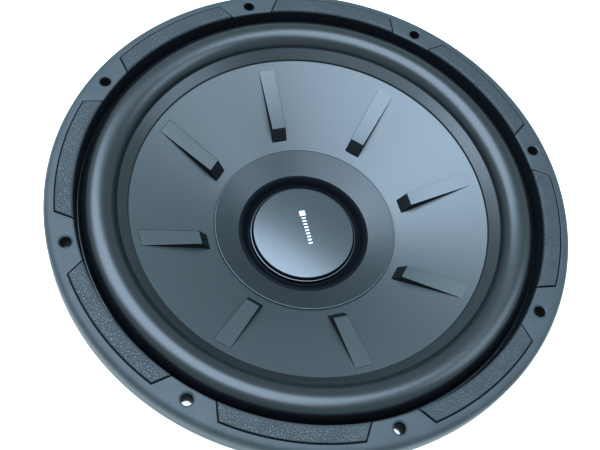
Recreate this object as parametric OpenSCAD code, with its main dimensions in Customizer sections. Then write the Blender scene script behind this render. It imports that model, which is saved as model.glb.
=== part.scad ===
// Twelve inch car subwoofer speaker, cone side up.
// The origin is the centre of the bolt circle on the flange's underside, where it meets the baffle.

/* [Flange and trim ring] */
// Diameter of the circle that the mounting holes lie on
bolt_circle_d = 295; // [294:0.5:296]
// Diameter of each mounting hole
bolt_hole_d = 6.5; // [5:0.1:6.8]
// Outer diameter of the rubber trim ring
trim_od = 315.6; // [315:0.1:318]
// Height of the trim ring's smooth lands above the baffle
trim_h = 14; // [13.5:0.1:15]
// Height of the grained pads above the lands
pad_h = 1; // [0.4:0.1:1.5]

/* [Cone and suspension] */
// Slope of the cone, rise over run
cone_slope = 0.5; // [0.49:0.01:0.51]
// Thickness of the cone's wall
cone_wall = 1.8; // [1.2:0.1:2]
// Outer radius of the surround's half roll
roll_r = 10.9; // [10.7:0.1:11]
// Thickness of the surround's rubber
roll_wall = 1; // [0.8:0.1:1.4]
// Angle that the ribs are turned by, seen from the front
rib_turn = -1.1; // [-3:0.1:3]
// Number of corrugations in the spider
spider_waves = 6; // [4:1:8]

/* [Motor] */
// Diameter of the ferrite rings
magnet_d = 156; // [150:1:156]
// Thickness of each ferrite ring
magnet_h = 20; // [16:1:22]
// Thickness of the top plate and of the back plate
plate_h = 8; // [6:1:10]
// Diameter of the air vent through the pole
vent_d = 22; // [16:1:24]
// Height of the winding on its former
winding_h = 32; // [24:1:34]

/* [Terminals] */
// Distance between the two push posts
post_pitch = 20; // [18:1:22]
// Diameter of the wire hole under each post
wire_hole_d = 3.8; // [2.5:0.1:4]

/* [Hidden] */
$fn = 128;
holes = 8;
step = 360 / holes;
cut = 1;

sheet_t = 1.5;
flange_r = 156.3;
bolt_r = bolt_circle_d / 2;
lip_top = 2 * sheet_t;

trim_r = trim_od / 2;
trim_round = 3;
trim_foot_r = 139.3;
trim_brow_r = 143.5;
trim_brow_round = 2.5;
trim_base_z = 0.2;
pad_in_r = 140;
pad_out_r = 151.7;
pad_in_gap = 5;
pad_out_gap = 7.5;
pad_sink = 2;
far_r = 200;

lip_edge_r = 143.5;
roll_mid_r = 127.3;
roll_end_h = 2.5;
cone_lip_r = 110.5;
cone_lip_edge = 0.9;
cone_edge_r = 116;
cone_edge_z = 2.85;
cone_bend_r = 47;
neck_r = 26;
neck_top_z = -53.5;
neck_end_z = -56.5;
glue_gap = 0.15;

cap_edge_r = 57.1;
funnel_in_r = 41.2;
cap_wall = 0.9;
disc_top_r = 32.5;
disc_foot_r = 34.1;
disc_foot_z = -38.8;
disc_top_z = -34.4;
groove_line = [[40, -35.4], [37.9, -39.2], [36.4, -40.8], [35.2, -41.2], [disc_foot_r, -40.6]];
disc_line = [
    [disc_foot_r, disc_foot_z], [disc_foot_r, -38.2], [33.4, -37.9], [32.9, -35.4],
    [disc_top_r, -34.7], [31.7, disc_top_z]
];

rib_in_r = 64.1;
rib_peak_r = 68.6;
rib_peak_z = -16.6;
rib_out_r = 105.7;
rib_in_half = 4.5;
rib_out_half = 5.5;
rib_root = 0.6;

shelf_z = -61;
shelf_r = 90;
base_z = -83.6;
base_hole_r = 28;
wall_line = [[flange_r, 0], [141.5, 0], [139.5, -2], [134, -11], [93.5, -57.5]];
shelf_line = [[shelf_r, shelf_z - sheet_t], [77.5, shelf_z - sheet_t], [73.5, base_z], [base_hole_r, base_z]];
window_top = -14;
window_bottom = -54;
window_top_half = 38;
window_bottom_half = 27;
window_round = 8;
window_in_r = 60;
bead_r = 4;
bead_proud = 1.6;
bead_ends = [0.14, 0.86];

screw_circle_r = 50;
screws = 6;
screw_r = 2.5;
screw_hole_r = 2.7;
screw_head_r = 5;
screw_head_h = 3;
screw_socket_r = 2;
screw_socket_floor = 1;

spider_t = 0.6;
spider_neck_r = 30;
spider_foot_r = 78;
spider_edge_r = 88;
spider_wave_h = 2.2;
spider_mid_z = shelf_z + spider_wave_h + spider_t;
wave_points = 10;

former_in_r = 25.4;
former_out_r = 25.7;
former_top_z = -48;
former_lap = 1;
gap_z = base_z - plate_h / 2;
winding_top = gap_z + winding_h / 2;
winding_r = 26.8;
gap_r = 27.3;
pole_r = 25;
plate_r = 68;
top_plate_z = base_z - plate_h;
magnet_mid_z = top_plate_z - magnet_h;
magnet_end_z = magnet_mid_z - magnet_h;
back_z = magnet_end_z - plate_h;
magnet_r = magnet_d / 2;
magnet_hole_r = 40;
plate_bevel = 1.5;
pole_bevel = 1;
boot_t = 2.5;
boot_lip_t = 1.5;
boot_gap = 0.3;
boot_front_r = 71;
screen_r = 16;
screen_t = 1.2;
screen_pitch = 3;
screen_hole = 2;

tab_x = -93;
tab_half = 22;
tab_foot = 12;
tab_bottom = -88;
block_deep = 20;
block_half = 20;
block_top = -63;
block_bottom = -87;
block_x = tab_x - block_deep;
post_z = -75;
post_half = post_pitch / 2;
wire_hole_in = 4;
post_bore_r = 3.1;
post_shaft_r = 3.05;
post_bore_deep = 18;
post_head_r = 6;
post_head_h = 7;
post_gap = 4.5;
post_shaft_deep = 9;
collar_r = 7.5;
collar_h = 1.5;
spring_r = 2.3;
spring_wire_r = 0.35;
spring_turns = 5;
spring_gap = 0.1;
spring_sides = 8;
spring_rings = 12;
strip_in = 8;
strip_x = block_x + strip_in;
strip_t = 1;
strip_half = 2.5;
lug_top = -54;
lug_hole_r = 1.1;
lug_hole_down = 6;
rivet_r = 1.6;
rivet_head_r = 3;
rivet_head_h = 1;
rivet_zs = [-67, -83];

lead_r = 1;
lead_sides = 8;
lead_route = [
    [-104, 10, -57], [-101.4, 10, -57], [-99.4, 10, -55.6], [-98, 10, -53.2], [-96.4, 10, -50.8],
    [-94, 10, -49], [-91, 10, -48.2], [-87, 10, -48.2], [-82, 10, -48.8], [-76, 9.6, -50],
    [-70, 9.2, -51.2], [-64, 8.8, -52], [-58, 8.4, -52], [-52, 8, -51.6], [-46, 7.8, -51.2],
    [-41, 7.5, -51.4], [-36, 7.2, -52.6], [-32.5, 7, -54.2], [-30.2, 6.9, -55.2], [-28.3, 6.8, -55.6]
];

// Height of the cone's front face at radius r, out of its neck
function cone_top(r) = cone_edge_z - cone_slope * (cone_edge_r - r);

function unit(v) = v / norm(v);
function left(v) = [-v[1], v[0]];

// The point i of a bent line, moved sideways by t so that the strip keeps its thickness
function beside(line, i, t) =
    let (last = len(line) - 1)
    let (back = unit(line[max(i, 1)] - line[max(i, 1) - 1]))
    let (ahead = unit(line[min(i, last - 1) + 1] - line[min(i, last - 1)]))
    let (turn = unit(left(back) + left(ahead)))
    line[i] + turn * t / (turn * left(back));

// Outline of a strip of thickness t along a bent line
function strip(line, t) = concat(line, [for (i = [len(line) - 1:-1:0]) beside(line, i, t)]);

// The points of an arc, angles from the first axis
function arc(mid, r, from, to, n) = [
    for (i = [0:n])
        let (a = from + (to - from) * i / n)
        mid + r * [cos(a), sin(a)]
];

module ring(inner, outer, bottom, top) {
    translate([0, 0, bottom])
        linear_extrude(top - bottom)
            difference() {
                circle(outer);
                circle(inner);
            }
}

module around(count, first = 0) {
    for (i = [0:count - 1])
        rotate(first + i * 360 / count)
            children();
}

module bolt_holes() {
    around(holes)
        translate([bolt_r, 0, -cut])
            cylinder(d = bolt_hole_d, h = trim_h + pad_h + 2 * cut);
}

// A flat convex outline with its corners rounded: centres in anticlockwise order
module rounded(centres, r) {
    n = len(centres);
    polygon([
        for (i = [0:n - 1], k = [0, 1])
            let (a = centres[i], b = centres[(i + 1) % n])
            (k == 0 ? a : b) - left(unit(b - a)) * r
    ]);
    for (c = centres)
        translate(c)
            circle(r);
}

// Basket

module window() {
    rotate([90, 0, 90])
        translate([0, 0, window_in_r])
            linear_extrude(flange_r - window_in_r)
                rounded([
                    [window_round - window_bottom_half, window_bottom + window_round],
                    [window_bottom_half - window_round, window_bottom + window_round],
                    [window_top_half - window_round, window_top - window_round],
                    [window_round - window_top_half, window_top - window_round]
                ], window_round);
}

// A pressed bead that stiffens one arm
module bead() {
    from = wall_line[3];
    along = wall_line[4] - from;
    start = bead_ends[0] * norm(along);
    end = bead_ends[1] * norm(along);
    translate([from[0], 0, from[1]])
        rotate([0, atan2(-along[1], along[0]), 0])
            translate([0, 0, -sheet_t / 2])
                linear_extrude(bead_proud + sheet_t / 2) {
                    translate([start, -bead_r])
                        square([end - start, 2 * bead_r]);
                    for (x = [start, end])
                        translate([x, 0])
                            circle(bead_r);
                }
}

module terminal_bracket() {
    translate([tab_x, -tab_half, tab_bottom])
        cube([sheet_t, 2 * tab_half, shelf_z - tab_bottom]);
    translate([tab_x, -tab_half, shelf_z - sheet_t])
        cube([tab_foot, 2 * tab_half, sheet_t]);
}

module basket() {
    color("dimgray")
        difference() {
            union() {
                rotate_extrude()
                    polygon(strip(concat(wall_line, shelf_line), -sheet_t));
                around(holes, step / 2)
                    bead();
                terminal_bracket();
            }
            around(holes)
                window();
            bolt_holes();
            around(screws)
                translate([screw_circle_r, 0, base_z - cut])
                    cylinder(r = screw_hole_r, h = sheet_t + 2 * cut);
            for (z = rivet_zs)
                translate([tab_x - cut, 0, z])
                    rotate([0, 90, 0])
                        cylinder(r = rivet_r, h = sheet_t + 2 * cut);
        }
}

// Trim ring

module pad() {
    a_in = pad_in_gap;
    a_out = pad_out_gap;
    translate([0, 0, trim_h - pad_sink])
        linear_extrude(pad_h + pad_sink)
            intersection() {
                difference() {
                    circle(pad_out_r);
                    circle(trim_brow_r - 1);
                }
                polygon([
                    pad_in_r * [cos(a_in), sin(a_in)],
                    pad_out_r * [cos(a_out), sin(a_out)],
                    far_r * [cos(a_out), sin(a_out)],
                    far_r * [cos(step - a_out), sin(step - a_out)],
                    pad_out_r * [cos(step - a_out), sin(step - a_out)],
                    pad_in_r * [cos(step - a_in), sin(step - a_in)]
                ]);
            }
}

module gasket_ring() {
    color([0.16, 0.17, 0.19])
        difference() {
            union() {
                rotate_extrude()
                    polygon(concat(
                        [[trim_foot_r, lip_top]],
                        arc([trim_brow_r, trim_h - trim_brow_round], trim_brow_round, 168, 90, 4),
                        arc([trim_r - trim_round, trim_h - trim_round], trim_round, 90, 0, 6),
                        [[trim_r, trim_base_z], [flange_r, trim_base_z], [flange_r, sheet_t]],
                        [[lip_edge_r, sheet_t], [lip_edge_r, lip_top]]
                    ));
                around(holes)
                    pad();
            }
            bolt_holes();
        }
}

// Suspension

module surround() {
    inner_r = roll_r - roll_wall;
    top_left = [roll_mid_r - sqrt(pow(roll_r, 2) - pow(roll_end_h, 2)), lip_top + roll_end_h];
    color([0.1, 0.11, 0.13])
        rotate_extrude()
            polygon(concat(
                [[lip_edge_r, lip_top]],
                arc([roll_mid_r, lip_top], roll_r, 0, 166.7, 24),
                [top_left, [cone_lip_r, cone_top(cone_lip_r) + cone_lip_edge]],
                [for (r = [cone_lip_r, cone_edge_r]) [r, cone_top(r) + glue_gap]],
                arc([roll_mid_r, lip_top], inner_r, 180, 0, 24),
                [[roll_mid_r + inner_r, sheet_t], [lip_edge_r, sheet_t]]
            ));
}

function wave_z(r) =
    let (share = (r - spider_neck_r) / (spider_foot_r - spider_neck_r))
    spider_mid_z - spider_wave_h * cos(360 * spider_waves * share);

module spider() {
    count = spider_waves * wave_points;
    first = spider_neck_r;
    line = concat(
        [[neck_r + glue_gap, spider_mid_z - spider_wave_h]],
        [for (i = [0:count]) let (r = first + (spider_foot_r - first) * i / count) [r, wave_z(r)]],
        [[spider_edge_r, spider_mid_z - spider_wave_h]]
    );
    color("khaki")
        rotate_extrude()
            polygon(strip(line, -spider_t));
}

// Moving assembly

module rib() {
    floor_z = cone_top(rib_in_r) - rib_root;
    intersection() {
        translate([0, 0, floor_z])
            linear_extrude(cone_edge_z - floor_z)
                polygon([
                    [rib_in_r, -rib_in_half], [rib_out_r, -rib_out_half],
                    [rib_out_r, rib_out_half], [rib_in_r, rib_in_half]
                ]);
        translate([0, 2 * rib_out_half, 0])
            rotate([90, 0, 0])
                linear_extrude(4 * rib_out_half)
                    polygon([
                        [rib_in_r, floor_z], [rib_in_r, cone_top(rib_in_r)],
                        [rib_peak_r, rib_peak_z], [rib_out_r, cone_top(rib_out_r)],
                        [rib_out_r, cone_top(rib_out_r) - rib_root]
                    ]);
    }
}

module cone() {
    bend = [cone_bend_r, cone_top(cone_bend_r)];
    color([0.33, 0.38, 0.42]) {
        rotate_extrude()
            polygon(strip([[cone_edge_r, cone_edge_z], bend, [neck_r, neck_top_z], [neck_r, neck_end_z]], cone_wall));
        around(holes, rib_turn)
            rib();
    }
}

module dust_cap() {
    rise = cap_wall * sqrt(1 + pow(cone_slope, 2));
    funnel = [for (r = [cap_edge_r, funnel_in_r]) [r, cone_top(r) + rise]];
    line = concat(funnel, groove_line);
    color([0.28, 0.33, 0.37])
        rotate_extrude()
            polygon(concat(
                line,
                [[disc_foot_r, disc_foot_z], [0, disc_foot_z], [0, disc_foot_z - cap_wall]],
                [[disc_foot_r - cap_wall, disc_foot_z - cap_wall]],
                [for (i = [len(line) - 1:-1:0]) beside(line, i, cap_wall)]
            ));
}

module cap_disc() {
    color([0.4, 0.47, 0.52])
        rotate_extrude()
            polygon(concat([[0, disc_foot_z]], disc_line, [[0, disc_top_z]]));
}

module coil_former() {
    color("peru")
        ring(former_in_r, former_out_r, winding_top - winding_h - former_lap, former_top_z);
}

module former_collar() {
    color("saddlebrown")
        ring(former_out_r, neck_r, winding_top, former_top_z - former_lap);
}

module voice_coil() {
    color("orangered")
        ring(former_out_r, winding_r, winding_top - winding_h, winding_top);
}

// Motor

module top_plate() {
    color("silver")
        difference() {
            ring(gap_r, plate_r, top_plate_z, base_z);
            around(screws)
                translate([screw_circle_r, 0, top_plate_z - cut])
                    cylinder(r = screw_hole_r, h = plate_h + 2 * cut);
        }
}

module magnet_front() {
    color([0.22, 0.22, 0.24])
        ring(magnet_hole_r, magnet_r, magnet_mid_z, top_plate_z);
}

module magnet_rear() {
    color([0.22, 0.22, 0.24])
        ring(magnet_hole_r, magnet_r, magnet_end_z, magnet_mid_z);
}

module yoke() {
    color("silver")
        difference() {
            rotate_extrude()
                polygon([
                    [0, back_z], [plate_r - plate_bevel, back_z], [plate_r, back_z + plate_bevel],
                    [plate_r, magnet_end_z], [pole_r, magnet_end_z], [pole_r, base_z - pole_bevel],
                    [pole_r - pole_bevel, base_z], [0, base_z]
                ]);
            translate([0, 0, back_z - cut])
                cylinder(d = vent_d, h = base_z - back_z + 2 * cut);
            translate([0, 0, back_z - cut])
                cylinder(r = screen_r, h = screen_t + cut);
        }
}

module vent_screen() {
    rim_r = vent_d / 2;
    count = floor(rim_r / screen_pitch);
    color("gray")
        translate([0, 0, back_z])
            linear_extrude(screen_t)
                difference() {
                    circle(screen_r);
                    for (i = [-count:count], j = [-count:count])
                        if (norm([i, j]) * screen_pitch + screen_hole < rim_r)
                            translate([i, j] * screen_pitch)
                                square(screen_hole, center = true);
                }
}

module magnet_boot() {
    color([0.12, 0.12, 0.13]) {
        ring(magnet_r, magnet_r + boot_t, magnet_end_z - boot_lip_t, top_plate_z + boot_lip_t);
        ring(plate_r + boot_gap, magnet_r + boot_t / 2, magnet_end_z - boot_lip_t, magnet_end_z);
        ring(boot_front_r, magnet_r + boot_t / 2, top_plate_z, top_plate_z + boot_lip_t);
    }
}

module basket_screws() {
    color("dimgray")
        around(screws)
            translate([screw_circle_r, 0, 0]) {
                translate([0, 0, top_plate_z])
                    cylinder(r = screw_r, h = plate_h + sheet_t);
                translate([0, 0, base_z + sheet_t])
                    difference() {
                        cylinder(r = screw_head_r, h = screw_head_h);
                        translate([0, 0, screw_socket_floor])
                            linear_extrude(screw_head_h)
                                circle(screw_socket_r, $fn = 6);
                    }
            }
}

// Terminals

module post_bore(r, deep) {
    translate([block_x, 0, post_z])
        rotate([0, 90, 0])
            translate([0, 0, -cut])
                cylinder(r = r, h = deep + cut);
}

module terminal_block() {
    color([0.1, 0.1, 0.11])
        difference() {
            union() {
                translate([block_x, -block_half, block_bottom])
                    cube([block_deep, 2 * block_half, block_top - block_bottom]);
                for (side = [-1, 1])
                    translate([block_x - collar_h, side * post_half, post_z])
                        rotate([0, 90, 0])
                            cylinder(r = collar_r, h = collar_h + cut);
            }
            for (side = [-1, 1])
                translate([0, side * post_half, 0]) {
                    translate([-collar_h, 0, 0])
                        post_bore(post_bore_r, post_bore_deep + collar_h);
                    translate([block_x + wire_hole_in, 0, block_bottom - cut])
                        cylinder(d = wire_hole_d, h = post_z - block_bottom + cut);
                    translate([strip_x, -strip_half, post_z])
                        cube([strip_t, 2 * strip_half, block_top - post_z + cut]);
                }
            for (z = rivet_zs)
                translate([block_x - cut, 0, z])
                    rotate([0, 90, 0])
                        cylinder(r = rivet_r, h = block_deep + 2 * cut);
        }
}

module terminal_rivets() {
    color("silver")
        for (z = rivet_zs)
            translate([block_x, 0, z])
                rotate([0, 90, 0]) {
                    translate([0, 0, -rivet_head_h])
                        cylinder(r = rivet_head_r, h = rivet_head_h);
                    cylinder(r = rivet_r, h = block_deep + sheet_t);
                    translate([0, 0, block_deep + sheet_t])
                        cylinder(r = rivet_head_r, h = rivet_head_h);
                }
}

module contact(side) {
    color("gold")
        difference() {
            translate([strip_x, side * post_half - strip_half, post_z])
                cube([strip_t, 2 * strip_half, lug_top - post_z]);
            translate([-collar_h, side * post_half, 0])
                post_bore(post_bore_r, post_bore_deep + collar_h);
            translate([strip_x - cut, side * post_half, lug_top - lug_hole_down])
                rotate([0, 90, 0])
                    cylinder(r = lug_hole_r, h = strip_t + 2 * cut);
        }
}

// A tube swept along a route of points; up is a direction that the route never takes
module tube(route, r, sides, up) {
    last = len(route) - 1;
    points = [
        for (i = [0:last])
            let (ahead = unit(route[min(i + 1, last)] - route[max(i - 1, 0)]))
            let (u = unit(cross(ahead, up)))
            let (v = cross(u, ahead))
            for (k = [0:sides - 1])
                let (a = 360 * k / sides)
                route[i] + r * (cos(a) * u + sin(a) * v)
    ];
    walls = [
        for (i = [0:last - 1], k = [0:sides - 1])
            let (a = i * sides + k, b = i * sides + (k + 1) % sides)
            [a, b, b + sides, a + sides]
    ];
    caps = [[for (k = [sides - 1:-1:0]) k], [for (k = [0:sides - 1]) last * sides + k]];
    polyhedron(points, concat(walls, caps));
}

module spring(side) {
    room = post_bore_deep - post_shaft_deep - 2 * (spring_wire_r + spring_gap);
    start = block_x + post_shaft_deep + spring_wire_r + spring_gap;
    count = spring_turns * spring_rings;
    color("silver")
        tube(
            [
                for (i = [0:count])
                    let (a = 360 * i / spring_rings)
                    [start + room * i / count, side * post_half + spring_r * cos(a), post_z + spring_r * sin(a)]
            ],
            spring_wire_r, spring_sides, [1, 0, 0]
        );
}

module button(side) {
    head_x = block_x - post_gap - collar_h;
    translate([head_x, side * post_half, post_z])
        rotate([0, 90, 0]) {
            translate([0, 0, -post_head_h])
                cylinder(r = post_head_r, h = post_head_h);
            cylinder(r = post_shaft_r, h = post_gap + collar_h + post_shaft_deep);
        }
}

module lead(side) {
    color("darkgoldenrod")
        tube([for (p = lead_route) [p[0], side * p[1], p[2]]], lead_r, lead_sides, [0, 0, 1]);
}

module red_contact() contact(1);
module black_contact() contact(-1);
module red_spring() spring(1);
module black_spring() spring(-1);
module red_button() color("firebrick") button(1);
module black_button() color([0.08, 0.08, 0.08]) button(-1);
module red_lead() lead(1);
module black_lead() lead(-1);

basket();
gasket_ring();
surround();
spider();
cone();
dust_cap();
cap_disc();
coil_former();
former_collar();
voice_coil();
top_plate();
magnet_front();
magnet_rear();
yoke();
vent_screen();
magnet_boot();
basket_screws();
terminal_block();
terminal_rivets();
red_contact();
black_contact();
red_spring();
black_spring();
red_button();
black_button();
red_lead();
black_lead();
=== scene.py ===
"""A twelve inch car subwoofer speaker, cone side up, standing on its magnet.

Sizes in this file are millimetres where a name or comment says so, and metres elsewhere.
"""

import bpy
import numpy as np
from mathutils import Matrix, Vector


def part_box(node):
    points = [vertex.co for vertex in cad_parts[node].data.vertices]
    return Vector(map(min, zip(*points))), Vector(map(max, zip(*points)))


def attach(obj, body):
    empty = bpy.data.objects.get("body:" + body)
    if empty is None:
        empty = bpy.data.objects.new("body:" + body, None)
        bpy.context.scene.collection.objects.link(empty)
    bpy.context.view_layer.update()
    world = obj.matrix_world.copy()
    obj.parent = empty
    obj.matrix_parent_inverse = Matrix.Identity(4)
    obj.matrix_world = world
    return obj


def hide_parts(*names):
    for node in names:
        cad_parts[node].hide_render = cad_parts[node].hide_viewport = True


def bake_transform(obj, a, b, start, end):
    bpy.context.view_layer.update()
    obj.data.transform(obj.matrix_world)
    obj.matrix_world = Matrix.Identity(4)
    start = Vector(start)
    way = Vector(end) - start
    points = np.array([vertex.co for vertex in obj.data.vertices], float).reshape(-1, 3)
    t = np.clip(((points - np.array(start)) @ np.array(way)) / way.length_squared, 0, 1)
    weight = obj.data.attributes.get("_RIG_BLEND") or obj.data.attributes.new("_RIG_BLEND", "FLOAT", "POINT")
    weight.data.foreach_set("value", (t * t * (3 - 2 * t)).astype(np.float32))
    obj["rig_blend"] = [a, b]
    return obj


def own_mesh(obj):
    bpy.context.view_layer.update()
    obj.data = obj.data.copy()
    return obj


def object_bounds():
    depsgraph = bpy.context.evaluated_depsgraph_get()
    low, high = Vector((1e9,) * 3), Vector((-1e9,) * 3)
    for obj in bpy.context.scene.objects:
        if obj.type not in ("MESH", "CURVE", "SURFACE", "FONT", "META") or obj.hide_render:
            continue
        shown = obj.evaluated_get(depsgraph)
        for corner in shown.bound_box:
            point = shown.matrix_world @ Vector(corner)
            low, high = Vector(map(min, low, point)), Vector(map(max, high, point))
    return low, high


bl_info = {
    "name": "Car Subwoofer Speaker",
    "version": (1, 0, 0),
    "blender": (4, 5, 0),
    "location": "View3D > Sidebar > Speaker",
    "description": "Builds the looks of a twelve inch car subwoofer speaker round its CAD frame",
    "category": "Object",
}

import math

import bmesh
import bpy
from mathutils import Matrix, Vector

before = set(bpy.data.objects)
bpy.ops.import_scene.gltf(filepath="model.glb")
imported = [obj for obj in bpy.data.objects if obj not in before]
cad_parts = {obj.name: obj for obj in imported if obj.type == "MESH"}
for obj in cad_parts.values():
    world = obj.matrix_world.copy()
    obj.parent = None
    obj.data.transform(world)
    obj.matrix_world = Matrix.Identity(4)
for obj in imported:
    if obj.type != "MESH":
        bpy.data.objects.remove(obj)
CAD_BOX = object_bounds()

MM = 0.001
FULL = math.tau


# Numbers and colours

def linear(code, alpha=1.0):
    """An sRGB hex colour as the linear colour that shaders take."""
    parts = [int(code[i:i + 2], 16) / 255 for i in (1, 3, 5)]
    return tuple(c / 12.92 if c <= 0.04045 else ((c + 0.055) / 1.055) ** 2.4 for c in parts) + (alpha,)


def number_prop(name, description, default, low, high):
    """A number that a user may change: millimetres, unless its description says otherwise."""
    return bpy.props.FloatProperty(
        name=name, description=description, default=default, min=low, max=high, subtype="NONE", precision=2)


def colour_prop(name, description, code):
    """A colour that a user may change."""
    return bpy.props.FloatVectorProperty(
        name=name, description=description, default=linear(code)[:3], size=3, min=0, max=1, subtype="COLOR")


def top_of(node):
    """Height of a CAD node's highest point, in millimetres."""
    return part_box(node)[1].z / MM


def base_of(node):
    """Height of a CAD node's lowest point, in millimetres."""
    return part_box(node)[0].z / MM


def reach_of(node):
    """Radius of a round CAD node, in millimetres."""
    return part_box(node)[1].y / MM


class SpeakerSizes(bpy.types.PropertyGroup):
    """Small sizes that the looks need and the CAD frame doesn't hold."""

    pad_rise: number_prop("Pad rise", "How far the grained pads stand above the lands", 0.9, 0.3, 1.5)
    pad_groove: number_prop("Pad groove", "Width of the groove round each pad", 0.8, 0.2, 1.5)
    pad_out_r: number_prop("Pad outer radius", "Radius of each pad's outer side", 151.7, 148, 153)
    pad_in_gap: number_prop("Pad gap inside", "Degrees from a hole to a pad at its inner side", 5.0, 3.5, 8)
    pad_out_gap: number_prop("Pad gap outside", "Degrees from a hole to a pad at its outer side", 7.5, 4, 10)
    roll_r: number_prop("Roll radius", "Outer radius of the surround's half roll", 10.9, 10, 11)
    cone_slope: number_prop("Cone slope", "Rise over run of the cone's face", 0.525, 0.45, 0.55)
    rib_turn: number_prop("Rib turn", "Degrees that the ribs are turned by", -1.1, -3, 3)
    grain: number_prop("Leather grain", "Width of one cell of the pads' leather grain", 1.5, 0.5, 4)
    cloth: number_prop("Cloth thread", "Spacing of the spider's threads", 1.2, 0.4, 3)


class SpeakerColours(bpy.types.PropertyGroup):
    """Colours of the speaker's materials."""

    cone: colour_prop("Cone", "Satin polypropylene of the cone", "#181c1e")
    # The cap's groove takes the near-black painted shadow material instead of this colour.
    cap: colour_prop("Dust cap", "Satin plastic of the funnel and its groove", "#121517")
    disc: colour_prop("Centre disc", "Satin plastic of the flat disc", "#181c1f")
    roll: colour_prop("Surround", "Butyl rubber of the half roll", "#08090b")
    trim: colour_prop("Trim ring", "Moulded rubber of the trim ring", "#23282b")
    paint: colour_prop("Basket", "Paint on the pressed steel", "#17181a")
    cloth: colour_prop("Spider", "Resin-treated cloth", "#a5762e")
    boot: colour_prop("Magnet boot", "Rubber round the magnets", "#1a1b1d")


def sizes():
    return bpy.context.scene.speaker_sizes


def colours():
    return bpy.context.scene.speaker_colours


# Mesh tools

# A support line runs this share of a corner's cut beyond its arc, so that the flat faces shade flat
SUPPORT = 1.1


def rounded_line(points, closed=False, segments=4):
    """(r, z) pairs from (r, z, cut) points: a corner with a cut becomes an arc."""
    line = []
    count = len(points)
    for i, point in enumerate(points):
        here = Vector(point[:2])
        cut = point[2] if len(point) > 2 else 0
        if not cut or (not closed and i in (0, count - 1)):
            line.append(here)
            continue
        back = (Vector(points[i - 1][:2]) - here).normalized() * cut
        ahead = (Vector(points[(i + 1) % count][:2]) - here).normalized() * cut
        line.append(here + back * SUPPORT)
        for k in range(segments + 1):
            t = k / segments
            line.append(here + back * (1 - t) ** 2 + ahead * t ** 2)
        line.append(here + ahead * SUPPORT)
    return line


def arc(r, z, radius, start, end, count):
    """Points of an arc in the (r, z) plane, angles in degrees."""
    turns = [math.radians(start + (end - start) * i / count) for i in range(count + 1)]
    return [(r + radius * math.cos(a), z + radius * math.sin(a)) for a in turns]


def spun(points, closed=True, steps=192, segments=4):
    """A bmesh of revolution about Z from an outline in millimetres."""
    bm = bmesh.new()
    line = rounded_line(points, closed, segments)
    verts = [bm.verts.new((r * MM, 0, z * MM)) for r, z in line]
    ends = verts[1:] + verts[:1] if closed else verts[1:]
    edges = [bm.edges.new(pair) for pair in zip(verts, ends)]
    bmesh.ops.spin(
        bm, geom=verts + edges, cent=(0, 0, 0), axis=(0, 0, 1), angle=FULL, steps=steps, use_merge=True)
    bmesh.ops.remove_doubles(bm, verts=bm.verts, dist=1e-6)
    bmesh.ops.recalc_face_normals(bm, faces=bm.faces)
    return bm


def finished(bm, name, body, replaces=(), sharp=28, blends=False):
    """Turns a bmesh into a piece of the speaker that moves with a CAD body."""
    bm.normal_update()
    mesh = bpy.data.meshes.new(name)
    bm.to_mesh(mesh)
    bm.free()
    mesh.shade_smooth()
    mesh.set_sharp_from_angle(angle=math.radians(sharp))
    piece = bpy.data.objects.new(name, mesh)
    bpy.context.scene.collection.objects.link(piece)
    if not blends:
        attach(piece, body)
    if replaces:
        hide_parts(*replaces)
    return piece


def painted(piece, index, test):
    """Gives another of the piece's materials to faces that pass a test of radius, height and tilt."""
    for face in piece.data.polygons:
        if test(face.center.xy.length / MM, face.center.z / MM, face.normal.z):
            face.material_index = index
    return piece


def dress(piece, *materials):
    """Gives a piece its materials, the first one everywhere that the mesh doesn't say otherwise."""
    if piece.data.materials:
        piece.data.materials.clear()
    for material in materials:
        piece.data.materials.append(material)
    return piece


def node_copy(node, name, body, width=0.3, segments=2, sharp=30):
    """A merged copy of a CAD node with its sharp edges bevelled, which stands for the node."""
    bm = bmesh.new()
    bm.from_mesh(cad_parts[node].data)
    bmesh.ops.remove_doubles(bm, verts=bm.verts, dist=2e-6)
    bmesh.ops.dissolve_limit(bm, angle_limit=math.radians(0.5), verts=bm.verts, edges=bm.edges)
    piece = finished(bm, name, body, replaces=[node], sharp=sharp)
    edge = piece.modifiers.new("worn edge", "BEVEL")
    edge.width = width * MM
    edge.segments = segments
    edge.limit_method = "ANGLE"
    edge.angle_limit = math.radians(40)
    edge.harden_normals = True
    return piece


def radial_blend(piece, inner_r, outer_r):
    """The piece follows the cone inside inner_r and the frame outside outer_r, and bends between them."""
    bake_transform(piece, "frame", "cone_assembly", start=(outer_r * MM, 0, 0), end=(inner_r * MM, 0, 0))
    weights = piece.data.attributes["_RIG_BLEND"]
    for vert, weight in zip(piece.data.vertices, weights.data):
        t = (outer_r - vert.co.xy.length / MM) / (outer_r - inner_r)
        t = min(1.0, max(0.0, t))
        weight.value = t * t * (3 - 2 * t)


# Materials

def add(tree, kind, inputs=None, **settings):
    """Adds a node with its settings; an input that is a socket is linked, and any other is a value."""
    node = tree.nodes.new(kind)
    for key, value in settings.items():
        setattr(node, key, value)
    for key, value in (inputs or {}).items():
        if isinstance(value, bpy.types.NodeSocket):
            tree.links.new(value, node.inputs[key])
        else:
            node.inputs[key].default_value = value
    return node


def started(name):
    """A material with its tree, its shader and a coordinate in millimetres."""
    material = bpy.data.materials.new(name)
    material.use_nodes = True
    tree = material.node_tree
    shader = next(n for n in tree.nodes if n.type == "BSDF_PRINCIPLED")
    place = add(tree, "ShaderNodeTexCoord").outputs["Object"]
    grid = add(tree, "ShaderNodeMapping", {"Vector": place, "Scale": (1 / MM,) * 3}).outputs["Vector"]
    return material, tree, shader, grid


def scaled(colour, share):
    return tuple(min(1.0, c * share) for c in colour[:3]) + (1.0,)


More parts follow.
